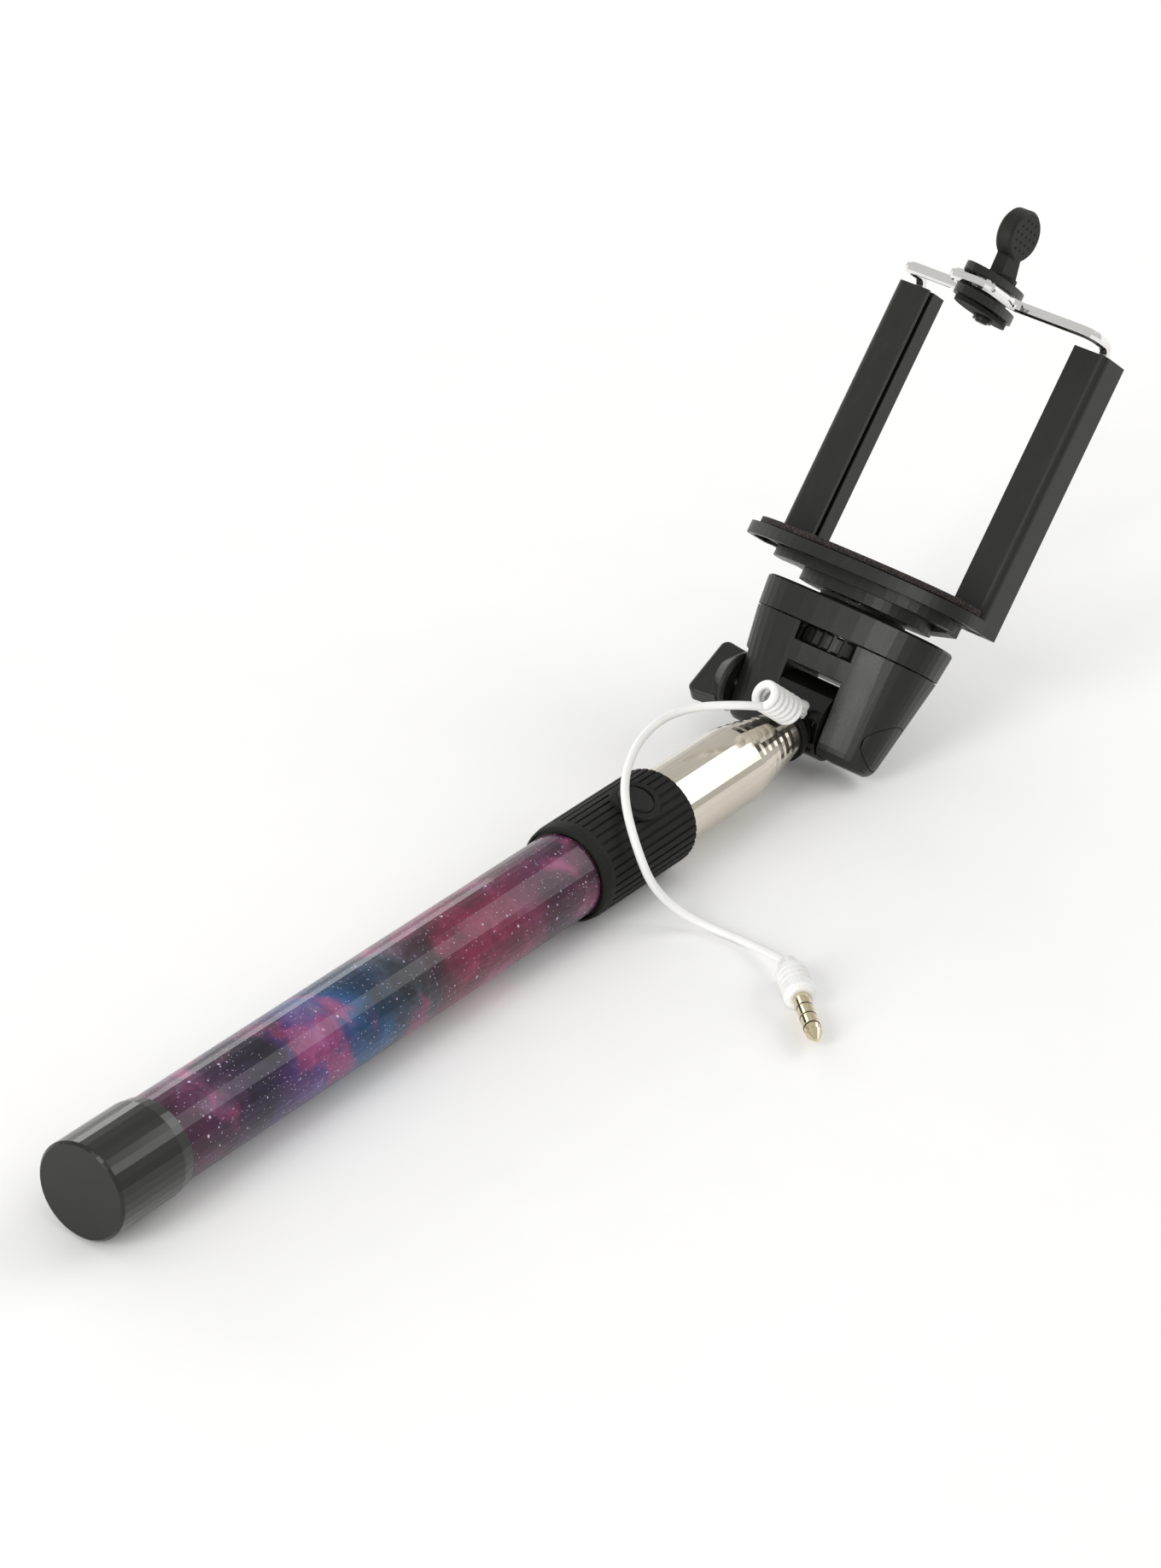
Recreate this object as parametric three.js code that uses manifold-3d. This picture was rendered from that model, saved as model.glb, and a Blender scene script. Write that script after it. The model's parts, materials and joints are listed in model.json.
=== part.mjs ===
// Telescopic selfie stick with a wired shutter lead, collapsed and lying on a flat surface.
// Millimetres, +Z up. The stick runs along +X from its end cap to the phone clamp, and its
// left side is +Y. The origin is at the bottom centre of the object without its lead.
import * as THREE from 'three';
import { mergeVertices } from 'three/addons/utils/BufferGeometryUtils.js';
import Module from 'manifold-3d';

const wasm = await Module();
wasm.setup();

// ---------------------------------------------------------------- driving dimensions

const gap = 0.3; // between fixed pieces that rest on each other
const slip = 0.1; // radial play between pieces that slide or turn in each other
const fine = 40; // sides of a large turned piece
const coarse = 24; // sides of a small turned piece

// Handle
const capRadius = 9.9;
const capLength = 20.1;
const capFloor = 2.2;
const capChamfer = 2.8;
const handleRadius = 9.0;
const handleWall = 0.35;
const handleLength = 144.2;
const collarRadius = 10.4;
const collarLength = 31.6;
const collarLip = 0.8;
const carrierWall = 0.85;
const ribCount = 36;
const ribDepth = 0.35;

// Shutter button, turned round the stick's axis from the top towards the right side
const buttonRadius = 3.9;
const buttonProud = 0.7; // button's top above the grip's surface
const buttonTravel = 0.4;
const buttonStation = 19.2; // from the collar's butt end
const buttonTurn = THREE.MathUtils.degToRad(13);
const rimWidth = 1.3;
const rimProud = 0.8;

// Telescopic sections
const tubeCount = 7;
const tubeRadius = 8.55; // outside of the first section
const tubeStep = 0.5; // each next section is smaller by this much
const tubeWall = 0.25;
const firstReach = 26.1; // first section's straight length beyond the collar
const mouthPitch = 2.74; // each mouth stands this far beyond the one before
const tubeLength = 160;
const mouthLength = 1.4;
const tailLength = 8;

// Stem between the last section and the head
const plugDepth = 10;
const washerRadius = 6.2;
const washerThickness = 1.4;
const neckRadius = 5.2;
const neckBore = 3.8; // radius of the neck where it passes the washer
const neckLength = 3.2;
const knuckleHeight = 8;
const barrelRadius = 7.9;
const pivotReach = 10; // from the washer's front face to the pivot

// Head, measured from the pivot: up along the head, back away from the phone's side
const headTilt = THREE.MathUtils.degToRad(54); // between the stick and the head's upright axis
const headSetback = 1.7; // head's middle plane behind the pivot
const hornDrop = 7.1; // bottom of the fork below the pivot
const slotWidth = 13.6;
const slotTop = 8.6;
const floorTop = 12.2;
const seamHeight = 16.85;
const headTop = 23.9;
const headHalfWidth = { bottom: 17.6, seam: 21.4, top: 22.1 };
const headHalfDepth = { bottom: 6.4, seam: 10.5, top: 11.0 };
const headWall = 2.2;
const cavityHalfWidth = 11.2;
const screwSpread = 16.8; // head screws to either side of the middle
const capRoof = 2.0;

// Pivot bolt, nut, cover and wing knob, along the pivot axis
const boltRadius = 1.5;
const nutFlats = 5.5;
const nutHeight = 2.4;
const nutSeat = 11.0; // distance of the nut's inner face from the middle plane
const coverRadius = 5.3; // on the head's middle plane, not on the pivot
const coverSeat = 15.2;
const knobSeat = 17.6;
const knobBaseRadius = 6.6;
const knobHub = 4.2;
const knobHubLength = 4.0;
const wingRoot = 1.4; // wing's root beyond the hub's seat
const wingLength = 14.8;
const wingReach = 7.1;
const wingThickness = 3.8;
const wingTurn = THREE.MathUtils.degToRad(28);

// Thumbwheel and tripod screw, on the head's upright axis
const wheelRadius = 9.6;
const wheelThickness = 3.6;
const wheelRibs = 24;
const screwRadius = 3.175;
const screwFlange = 5.2;
const thrustThickness = 0.5;
const windowHalfWidth = 7.1;
const padRadius = 9.8;
const padThickness = 0.8;

// Phone clamp, measured upwards from the pivot and forwards from the screw's axis
const clampTurn = THREE.MathUtils.degToRad(8); // swivel at which it is left
const padPlay = 0.4; // between the head's pad and the base
const bossHalf = { width: 16, depth: 10.4 };
const bossHeight = 2.4;
const flangeHalf = { width: 23.5, depth: 11.2 };
const flangeHeight = 2.0;
const flangeForward = 2;
const plateHalf = { width: 29.5, depth: 12.6 };
const plateForward = 6;
const plateThickness = 2.7;
const plateSkin = 1.1;
const rimWall = 1.6;
const keelHalf = { bottom: 10.6, top: 19.2 }; // skirt under the back of the base
const keelFlare = 2.1; // height of the keel's ends above its bottom
const keelBack = 7.7;
const keelFront = 3;
const padMargin = 1.7;
const basePadThickness = 1.3;
const insertRadius = 4.8;
const insertHeight = 5.6;

// Rails, springs and the wire that slides in them
const railSize = 8.4;
const railSpread = 23.7; // half the distance between the rails' middles
const railForward = -3.5;
const railLength = 63.2;
const railChamfer = 1.2;
const railRound = 1.6; // outer front corner
const legSpread = 24.5; // half the distance between the wire's legs
const boreRadius = 2.35;
const grooveWidth = 1.5;
const grooveFromFront = 1.1;
const bushLength = 2.4;
const wireRadius = 1.3;
const footHeight = 1.6;
const springWall = 0.62;
const legFloor = 3.6; // foot's underside above the rail's bottom
const jawTravel = 25;
const wireRise = 2.6; // crossbar's middle above the rails' tops
const crossbarForward = 8.2; // crossbar in front of the legs
const tongueHalf = 4.4;
const tongueReach = 13.8; // tongue in front of the crossbar
const bendRadius = 2.4;

// Jaw and its thumb tab
const jawHalf = { length: 11, width: 4.4 };
const jawForward = 8.8;
const upperThickness = 1.8;
const lowerThickness = 2.0;
const jawPadThickness = 1.0;
const postForward = 6.8;
const postRadius = 1.3;
const armHeight = 5.2;
const armThickness = 3.0;
const armBase = 6.6;
const armNeck = 4.4;
const discRadius = 5.6;
const discThickness = 4.0;
const discForward = 1.5; // disc's centre in front of the post
const dimpleRadius = 0.4;
const dimpleDepth = 0.35;
const dimplePitch = 1.8;

// Lead
const cordRadius = 0.9;
const coilRadius = 3.5;
const coilLength = 12.1;
const plugGripRadius = 3.3;
const plugGripLength = 12;
const plugRadius = 1.75;
const plugLength = 14;

// ---------------------------------------------------------------- derived places

const collarStart = capFloor + gap + handleLength + gap;
const collarEnd = collarStart + collarLength;
const taperStart = collarEnd + firstReach;
const knuckleWidth = slotWidth - 2 * gap;
const baseBottom = headTop + gap + padThickness + padPlay;
const sectionRadius = (k) => tubeRadius - tubeStep * (k - 1);
const mouthEnd = (k) => taperStart + mouthPitch * k;
const washerStart = mouthEnd(tubeCount) + gap;
const neckStart = washerStart + washerThickness + gap;
const pivotStation = washerStart + washerThickness + pivotReach;
const basePlateBottom = baseBottom + bossHeight + flangeHeight;
const basePlateTop = basePlateBottom + plateThickness;
const railBottom = basePlateBottom + 0.1;
const railTop = railBottom + railLength;
const wireHeight = railTop + wireRise;
const upperBottom = wireHeight + wireRadius + gap;
const upperTop = upperBottom + upperThickness;
const lowerTop = wireHeight - wireRadius - gap;
const lowerBottom = lowerTop - lowerThickness;
const jawPadBottom = lowerBottom - gap - jawPadThickness;

// ---------------------------------------------------------------- solid helpers

function solid(geometry) {
  const bare = geometry.clone();
  bare.deleteAttribute('normal');
  bare.deleteAttribute('uv');
  const merged = mergeVertices(bare, 1e-4);
  return new wasm.Manifold(new wasm.Mesh({
    numProp: 3,
    vertProperties: Float32Array.from(merged.attributes.position.array),
    triVerts: Uint32Array.from(merged.index.array),
  }));
}

function geometryOf(body) {
  const { vertProperties, triVerts } = body.getMesh();
  const geometry = new THREE.BufferGeometry();
  geometry.setAttribute('position', new THREE.BufferAttribute(Float32Array.from(vertProperties), 3));
  geometry.setIndex(new THREE.BufferAttribute(Uint32Array.from(triVerts), 1));
  geometry.computeVertexNormals();
  return geometry;
}

// A profile of [along, radius] pairs turned about the X axis; it starts and ends on the axis.
function turned(profile, sides = fine) {
  const points = profile.map(([along, radius]) => new THREE.Vector2(radius, along));
  return new THREE.LatheGeometry(points, sides).rotateZ(-Math.PI / 2);
}

// A closed ring profile turned about the X axis, listed in either direction.
function turnedRing(profile, sides = fine) {
  const area = profile.reduce((sum, [x, r], i) => {
    const [nextX, nextR] = profile[(i + 1) % profile.length];
    return sum + x * nextR - nextX * r;
  }, 0);
  const ring = area < 0 ? [...profile] : [...profile].reverse();
  return turned([...ring, ring[0]], sides);
}

// A plain ring about the X axis.
function sleeve(from, to, inner, outer, sides = fine) {
  return turnedRing([[from, inner], [from, outer], [to, outer], [to, inner]], sides);
}

// A plain rod about the X axis.
function rod(from, to, radius, sides = coarse) {
  return turned([[from, 0], [from, radius], [to, radius], [to, 0]], sides);
}

const upright = (geometry) => geometry.rotateY(-Math.PI / 2); // from the X axis to the Z axis
const sideways = (geometry) => geometry.rotateZ(Math.PI / 2); // from the X axis to the Y axis

function block(x, y, z) {
  const [[x0, x1], [y0, y1], [z0, z1]] = [x, y, z];
  return new THREE.BoxGeometry(x1 - x0, y1 - y0, z1 - z0)
    .translate((x0 + x1) / 2, (y0 + y1) / 2, (z0 + z1) / 2);
}

// An oval outline: depth along X, width along Y, squarer as the power grows.
function oval(halfDepth, halfWidth, power, sides = 44, from = 0, turn = 2 * Math.PI) {
  const shape = (value) => Math.sign(value) * Math.abs(value) ** (2 / power);
  const count = turn < 2 * Math.PI ? sides + 1 : sides;
  return Array.from({ length: count }, (_, i) => {
    const angle = from + (turn * i) / sides;
    return new THREE.Vector2(halfDepth * shape(Math.cos(angle)), halfWidth * shape(Math.sin(angle)));
  });
}

function slab(outline, bottom, top) {
  const geometry = new THREE.ExtrudeGeometry(new THREE.Shape(outline), {
    depth: top - bottom,
    bevelEnabled: false,
  });
  return geometry.translate(0, 0, bottom);
}

// A unit outline carried through stations of [height, half depth, half width].
function lofted(stations, power, sides = 44) {
  const steps = stations.length - 1;
  const geometry = new THREE.ExtrudeGeometry(new THREE.Shape(oval(1, 1, power, sides)), {
    depth: steps,
    steps,
    bevelEnabled: false,
  });
  const place = geometry.attributes.position;
  for (let i = 0; i < place.count; i += 1) {
    const [height, halfDepth, halfWidth] = stations[Math.round(place.getZ(i))];
    place.setXYZ(i, place.getX(i) * halfDepth, place.getY(i) * halfWidth, height);
  }
  return geometry;
}

// A path through given points, with a section at each point.
class Route extends THREE.Curve {
  constructor(points) {
    super();
    this.points = points;
  }

  getPoint(t, target = new THREE.Vector3()) {
    const place = t * (this.points.length - 1);
    const index = Math.min(Math.floor(place), this.points.length - 2);
    return target.lerpVectors(this.points[index], this.points[index + 1], place - index);
  }

  getPointAt(u, target) {
    return this.getPoint(u, target);
  }

  getTangentAt(u, target = new THREE.Vector3()) {
    const index = Math.round(u * (this.points.length - 1));
    const before = this.points[Math.max(index - 1, 0)];
    const after = this.points[Math.min(index + 1, this.points.length - 1)];
    return target.subVectors(after, before).normalize();
  }
}

// Straight runs between corners, each corner rounded by an arc of the given radius.
function rounded(corners, radius, steps = 4) {
  const points = [corners[0]];
  for (let i = 1; i < corners.length - 1; i += 1) {
    const back = corners[i - 1].clone().sub(corners[i]).normalize();
    const on = corners[i + 1].clone().sub(corners[i]).normalize();
    const half = back.angleTo(on) / 2;
    const centre = back.clone().add(on).normalize()
      .multiplyScalar(radius / Math.sin(half)).add(corners[i]);
    const start = corners[i].clone().addScaledVector(back, radius / Math.tan(half));
    const arm = start.clone().sub(centre);
    const axis = new THREE.Vector3().crossVectors(on, back).normalize();
    const sweep = Math.PI - 2 * half;
    for (let step = 0; step <= steps; step += 1) {
      const turn = arm.clone().applyAxisAngle(axis, (sweep * step) / steps);
      points.push(turn.add(centre));
    }
  }
  points.push(corners[corners.length - 1]);
  return points;
}

function rodAlong(points, radius, sides = 8) {
  const section = new THREE.Shape(Array.from({ length: sides }, (_, i) => {
    const angle = (2 * Math.PI * i) / sides;
    return new THREE.Vector2(radius * Math.cos(angle), radius * Math.sin(angle));
  }));
  return new THREE.ExtrudeGeometry(section, {
    steps: points.length - 1,
    extrudePath: new Route(points),
    bevelEnabled: false,
  });
}

// ---------------------------------------------------------------- finishes and pieces

const finish = (color, roughness, metalness = 0) =>
  new THREE.MeshStandardMaterial({ color, roughness, metalness });
const glossBlack = finish(0x141414, 0.15);
const satinBlack = finish(0x2a2b28, 0.45);
const rubberBlack = finish(0x1b1b1b, 0.85);
const padBrown = finish(0x2b2522, 0.9);
const print = finish(0x4a3a66, 0.12);
const steel = finish(0xd9d5cc, 0.12, 1);
const chrome = finish(0xe6e6e6, 0.08, 1);
const zinc = finish(0xb5b5b0, 0.35, 1);
const brass = finish(0xc9a45c, 0.3, 1);
const green = finish(0x1d5a38, 0.6);
const white = finish(0xf2f2f0, 0.45);

function piece(parent, name, geometry, material) {
  const mesh = new THREE.Mesh(geometry, material);
  mesh.name = name;
  parent.add(mesh);
  return mesh;
}

const model = new THREE.Group();
const stick = new THREE.Group();
stick.position.z = collarRadius;
model.add(stick);

// ---------------------------------------------------------------- handle

function buildHandle() {
  const bore = handleRadius + slip;
  const mouth = bore + 0.35;
  piece(stick, 'end_cap', turned([
    [0, 0], [0, capRadius - 0.5], [0.5, capRadius], [capLength - capChamfer, capRadius],
    [capLength, mouth], [capLength, bore], [capFloor, bore], [capFloor, 0],
  ]), glossBlack);
  const start = capFloor + gap;
  const end = start + handleLength;
  piece(stick, 'handle_sleeve', sleeve(start, end, handleRadius - handleWall, handleRadius), print);
  piece(stick, 'tube_1', sectionTube(1, start), steel);
  piece(stick, 'inner_lead_coil', sleeve(start + 4, start + 34, 3.2, 6.2, coarse), rubberBlack);
}

// A steel section: plain body, mouth drawn in towards the next section, tail flared to fit the last.
function sectionTube(k, start) {
  const outer = sectionRadius(k);
  const inner = outer - tubeWall;
  const end = mouthEnd(k);
  const last = k === tubeCount;
  const mouthInner = last ? inner : outer - tubeStep + slip;
  const mouthOuter = last ? outer : mouthInner + tubeWall;
  const profile = [
    [end, mouthInner], [end - mouthLength, inner], [start + tailLength + 1, inner],
  ];
  if (k === 1) {
    profile.push([start, inner], [start, outer]);
  } else {
    const flare = tubeStep - tubeWall - slip;
    profile.push([start + tailLength, inner + flare], [start, inner + flare]);
    profile.push([start, outer + flare], [start + tailLength, outer + flare]);
    profile.push([start + tailLength + 1, outer]);
  }
  profile.push([end - mouthLength, outer], [end, mouthOuter]);
  return turnedRing(profile);
}

// ---------------------------------------------------------------- collar and button

function buildCollar() {
  const carrierInner = tubeRadius + slip;
  const carrierOuter = carrierInner + carrierWall;
  const gripInner = carrierOuter + slip;
  const middle = collarStart + buttonStation;
  const toButton = (geometry) => geometry.translate(middle, 0, 0).rotateX(buttonTurn);
  const outward = (from, to, radius, sides = coarse) => toButton(upright(rod(from, to, radius, sides)));

  const board = { long: 3.0, bottom: carrierInner + 0.12, top: carrierInner + 0.5 };
  board.wide = Math.sqrt((gripInner - slip) ** 2 - board.top ** 2);
  const domeTop = board.top + slip + 0.3;
  const carrier = solid(sleeve(collarStart + 0.6, collarEnd - 0.6, carrierInner, carrierOuter))
    .subtract(solid(toButton(block([-board.long - 0.2, board.long + 0.2],
      [-board.wide - 0.2, board.wide + 0.2], [0, carrierOuter + 2]))));
  piece(stick, 'collar_carrier', geometryOf(carrier), rubberBlack);
  piece(stick, 'switch_board', toButton(block([-board.long, board.long],
    [-board.wide, board.wide], [board.bottom, board.top])), green);
  piece(stick, 'snap_dome', outward(board.top + slip, domeTop, 1.8), zinc);

  const lip = 2.2;
  const body = solid(turnedRing([
    [collarStart, gripInner], [collarEnd, gripInner], [collarEnd, collarRadius - 0.3],
    [collarEnd - 0.3, collarRadius], [collarStart + lip, collarRadius],
    [collarStart + 0.5, collarRadius - 0.25], [collarStart, collarRadius - collarLip],
  ], ribCount * 2));
  const rimRadius = buttonRadius + slip + rimWidth;
  const rimTop = collarRadius + rimProud;
  let grip = body;
  for (let i = 0; i < ribCount; i += 1) {
    const groove = block([collarStart + lip + 1, collarEnd + 1], [-0.28, 0.28],
      [collarRadius - ribDepth, collarRadius + 1]);
    groove.rotateX((2 * Math.PI * (i + 0.5)) / ribCount);
    grip = grip.subtract(solid(groove));
  }
  grip = grip.add(solid(outward(gripInner + 0.2, rimTop + 2, rimRadius, 32))
    .intersect(solid(rod(collarStart, collarEnd, rimTop, ribCount * 2)))
    .subtract(solid(rod(collarStart - 1, collarEnd + 1, gripInner + 0.05, ribCount * 2))))
    .subtract(solid(outward(0, rimTop + 3, buttonRadius + slip, 32)));
  piece(stick, 'collar_grip', geometryOf(grip), rubberBlack);

  const buttonTop = collarRadius + buttonProud;
  const underside = domeTop + buttonTravel + 0.05;
  const button = new THREE.LatheGeometry([
    [0, underside], [1.2, underside], [1.2, underside + 0.1], [buttonRadius, underside + 0.1],
    [buttonRadius, buttonTop - 0.4], [buttonRadius - 0.5, buttonTop], [0, buttonTop],
  ].map(([radius, height]) => new THREE.Vector2(radius, height)), coarse).rotateX(Math.PI / 2);
  piece(stick, 'shutter_button', toButton(button), rubberBlack);
}

// ---------------------------------------------------------------- telescopic sections

function buildSections() {
  for (let k = 2; k <= tubeCount; k += 1) {
    piece(stick, `tube_${k}`, sectionTube(k, mouthEnd(k) - tubeLength), steel);
  }
}

// ---------------------------------------------------------------- stem

function buildStem() {
  const plugRadiusInTube = sectionRadius(tubeCount) - tubeWall - slip;
  piece(stick, 'stem_washer', sleeve(washerStart, washerStart + washerThickness,
    neckBore + slip, washerRadius), rubberBlack);
  const shaft = solid(turned([
    [washerStart - gap - plugDepth, 0], [washerStart - gap - plugDepth, plugRadiusInTube],
    [washerStart - gap, plugRadiusInTube], [washerStart - gap, neckBore], [neckStart, neckBore],
    [neckStart, neckRadius], [neckStart + neckLength, neckRadius], [neckStart + neckLength, 0],
  ]));
  const half = knuckleWidth / 2;
  const neck = solid(block([neckStart + neckLength - 1, pivotStation], [-neckRadius, neckRadius],
    [-knuckleHeight / 2, knuckleHeight / 2]));
  const barrel = solid(sideways(rod(-half, half, barrelRadius, fine)).translate(pivotStation, 0, 0));
  const bore = solid(sideways(rod(-half - 1, half + 1, boltRadius + slip)).translate(pivotStation, 0, 0));
  piece(stick, 'stem_knuckle', geometryOf(shaft.add(neck).add(barrel).subtract(bore)
    .subtract(solid(glandSeat()))), rubberBlack);
  piece(stick, 'cord_bush', gland(), white);
}

// The lead leaves the neck through a small gland, up and slightly to the right.
const glandTurn = THREE.MathUtils.degToRad(25);
const glandStation = neckStart + neckLength / 2;
const glandRadius = 1.3;
const glandTop = neckRadius + 0.9;
const onNeck = (geometry) => upright(geometry).translate(glandStation, 0, 0).rotateX(glandTurn);

function gland() {
  return onNeck(sleeve(neckRadius - 1.4, glandTop, 0.25, glandRadius, coarse));
}

function glandSeat() {
  return onNeck(rod(neckRadius - 1.4 - gap, neckRadius + 2, glandRadius + slip));
}

// ---------------------------------------------------------------- head

const pivot = new THREE.Group();
pivot.position.x = pivotStation;
pivot.rotation.y = Math.PI / 2 - headTilt;
stick.add(pivot);
const head = new THREE.Group();
head.position.x = headSetback;
pivot.add(head);

function headStations(heights) {
  const at = (size, height) => {
    if (height > seamHeight) {
      return THREE.MathUtils.mapLinear(height, seamHeight, headTop, size.seam, size.top);
    }
    return THREE.MathUtils.mapLinear(height, -hornDrop, seamHeight, size.bottom, size.seam);
  };
  return heights.map(([height, inset]) =>
    [height, at(headHalfDepth, height) - inset, at(headHalfWidth, height) - inset]);
}

const headPower = 2.7;

function buildHead() {
  const outer = solid(lofted(headStations([
    [-hornDrop, 1.5], [-hornDrop + 0.5, 0.7], [-hornDrop + 1.5, 0.15], [-hornDrop + 2.6, 0], [seamHeight, 0],
  ]), headPower));
  const slot = block([-20, 20], [-slotWidth / 2, slotWidth / 2], [-hornDrop - 5, slotTop]);
  const cavity = block([-headHalfDepth.seam + headWall, headHalfDepth.seam - headWall],
    [-cavityHalfWidth, cavityHalfWidth], [floorTop, seamHeight + 1]);
  const sill = floorTop + gap + thrustThickness;
  const windows = block([-20, 20], [-windowHalfWidth, windowHalfWidth], [sill, seamHeight + 1]);
  const fromPivot = (geometry) => geometry.translate(-headSetback, 0, 0);
  const along = (from, to, radius, sides) => solid(fromPivot(sideways(rod(from, to, radius, sides))));
  const nutHoleRadius = (nutFlats / 2 + slip) / Math.cos(Math.PI / 6);
  const nutHole = along(-30, -nutSeat, nutHoleRadius, 6);
  let shell = outer.subtract(solid(slot)).subtract(solid(cavity)).subtract(solid(windows))
    .subtract(along(-25, 25, boltRadius + slip))
    .subtract(nutHole)
    .subtract(solid(sideways(rod(-30, -coverSeat, coverRadius + 0.15, 32))))
    .subtract(along(knobSeat, 30, Math.hypot(wingLength, wingThickness) / 2 + 0.5, 32));
  for (const side of [-1, 1]) {
    const hole = upright(rod(seamHeight - 7, seamHeight + 1, 1.1 + slip))
      .translate(0, side * screwSpread, 0);
    shell = shell.subtract(solid(hole));
  }
  piece(head, 'head_shell', geometryOf(shell), satinBlack);

  const capBottom = seamHeight + gap;
  let cap = solid(lofted(headStations([[capBottom, 0], [headTop - 0.5, 0], [headTop, 0.5]]), headPower))
    .subtract(solid(block([-headHalfDepth.seam + headWall, headHalfDepth.seam - headWall],
      [-cavityHalfWidth, cavityHalfWidth], [capBottom - 1, headTop - capRoof])))
    .subtract(solid(upright(rod(capBottom - 1, headTop + 1, screwRadius + 0.4))));
  for (const [label, side] of [['left', 1], ['right', -1]]) {
    const at = (geometry) => solid(upright(geometry).translate(0, side * screwSpread, 0));
    cap = cap.subtract(at(rod(capBottom - 1, headTop + 1, 1.1 + slip)))
      .subtract(at(rod(headTop - 2, headTop + 1, 2.2)));
    const screw = at(rod(seamHeight - 6.5, headTop - 1.6, 1.1))
      .add(at(rod(headTop - 1.7, headTop - 0.3, 2.0)));
    piece(head, `head_screw_${label}`, geometryOf(screw), zinc);
  }
  piece(head, 'head_cap', geometryOf(cap), satinBlack);
  piece(head, 'top_pad', upright(sleeve(headTop + gap, headTop + gap + padThickness,
    screwRadius + 0.4, padRadius, fine)), rubberBlack);
  piece(head, 'thrust_washer', upright(sleeve(floorTop + gap, floorTop + gap + thrustThickness,
    1.5, 6, coarse)), zinc);

  const cover = outer.intersect(solid(sideways(rod(-30, -coverSeat - gap, coverRadius, 32))));
  piece(head, 'pivot_cover', geometryOf(cover), satinBlack);
}

// ---------------------------------------------------------------- pivot bolt and wing knob

function buildPivotBolt() {
  const nutEnd = nutSeat + gap;
  const nutRadius = (nutFlats / 2) / Math.cos(Math.PI / 6);
  const nut = solid(sideways(rod(-nutEnd - nutHeight, -nutEnd, nutRadius, 6)))
    .subtract(solid(sideways(rod(-30, 0, boltRadius + slip))));
  piece(pivot, 'pivot_nut', geometryOf(nut), zinc);

  const knobStart = knobSeat + gap;
  const hubEnd = knobStart + knobHubLength;
  piece(pivot, 'pivot_bolt', sideways(rod(-nutEnd - nutHeight, knobStart + 3, boltRadius)), zinc);
  const hub = solid(sideways(turned([
    [knobStart, 0], [knobStart, knobBaseRadius - 0.6], [knobStart + 0.6, knobBaseRadius],
    [knobStart + 1.2, knobBaseRadius], [hubEnd, knobHub], [hubEnd, 0],
  ], 32)));
  const half = { length: wingLength / 2, thickness: wingThickness / 2 };
  const corner = 1.6;
  const wing = new THREE.Shape();
  wing.moveTo(-half.length + 0.6, 0);
  wing.lineTo(-half.length, wingReach - corner);
  wing.absarc(-half.length + corner, wingReach - corner, corner, Math.PI, Math.PI / 2, true);
  wing.lineTo(half.length - corner, wingReach);
  wing.absarc(half.length - corner, wingReach - corner, corner, Math.PI / 2, 0, true);
  wing.lineTo(half.length - 0.6, 0);
  const blade = new THREE.ExtrudeGeometry(wing, {
    depth: wingThickness - 0.8,
    bevelThickness: 0.4,
    bevelSize: 0.4,
    bevelOffset: -0.4,
    bevelSegments: 1,
    curveSegments: 4,
  }).translate(0, knobStart + wingRoot, -half.thickness + 0.4).rotateY(wingTurn - Math.PI / 2);
  const socket = solid(sideways(rod(knobStart - 1, knobStart + 3 + gap, boltRadius + slip)));
  piece(pivot, 'wing_knob', geometryOf(hub.add(solid(blade)).subtract(socket)), satinBlack);
}

// ---------------------------------------------------------------- thumbwheel and tripod screw

function buildThumbwheel() {
  const bottom = floorTop + 2 * gap + thrustThickness;
  const top = bottom + wheelThickness;
  let wheel = solid(upright(turned([
    [bottom, 0], [bottom, wheelRadius - 0.4], [bottom + 0.4, wheelRadius],
    [top - 0.4, wheelRadius], [top, wheelRadius - 0.4], [top, 0],
  ], wheelRibs * 2)));
  for (let i = 0; i < wheelRibs; i += 1) {
    const groove = block([wheelRadius - 0.55, wheelRadius + 1], [-0.42, 0.42], [bottom - 1, top + 1]);
    groove.rotateZ((2 * Math.PI * (i + 0.5)) / wheelRibs);
    wheel = wheel.subtract(solid(groove));
  }
  const bore = solid(upright(rod(bottom - 1, top + 1, screwRadius + slip)));
  piece(head, 'thumbwheel', geometryOf(wheel.subtract(bore)), satinBlack);
  const screwTop = baseBottom + insertHeight - 0.6;
  piece(head, 'tripod_screw', upright(turned([
    [bottom, 0], [bottom, screwRadius], [top + gap, screwRadius], [top + gap, screwFlange],
    [top + gap + 1.2, screwFlange], [top + gap + 1.2, screwRadius],
    [screwTop - 0.8, screwRadius], [screwTop, screwRadius - 0.8], [screwTop, 0],
  ], coarse)), zinc);
}

// ---------------------------------------------------------------- phone clamp

const clamp = new THREE.Group();
clamp.rotation.z = -clampTurn;
head.add(clamp);

// The plate's outline: a bowed front and a straight back that ends flush with the rails.
function plateOutline(inset) {
  const front = oval(plateHalf.depth - inset, plateHalf.width - inset, 2.3, 36, Math.PI / 2, Math.PI)
    .map((point) => new THREE.Vector2(point.x - plateForward, point.y));
  const backX = -railForward + railSize / 2 + 0.2 - inset;
  const backY = railSpread + railSize / 2 - 0.6 - inset;
  return [...front, new THREE.Vector2(-1 - inset, -(plateHalf.width - inset)),
    new THREE.Vector2(backX - 2, -backY), new THREE.Vector2(backX, -backY + 1.5),
    new THREE.Vector2(backX, backY - 1.5), new THREE.Vector2(backX - 2, backY),
    new THREE.Vector2(-1 - inset, plateHalf.width - inset)];
}

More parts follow.
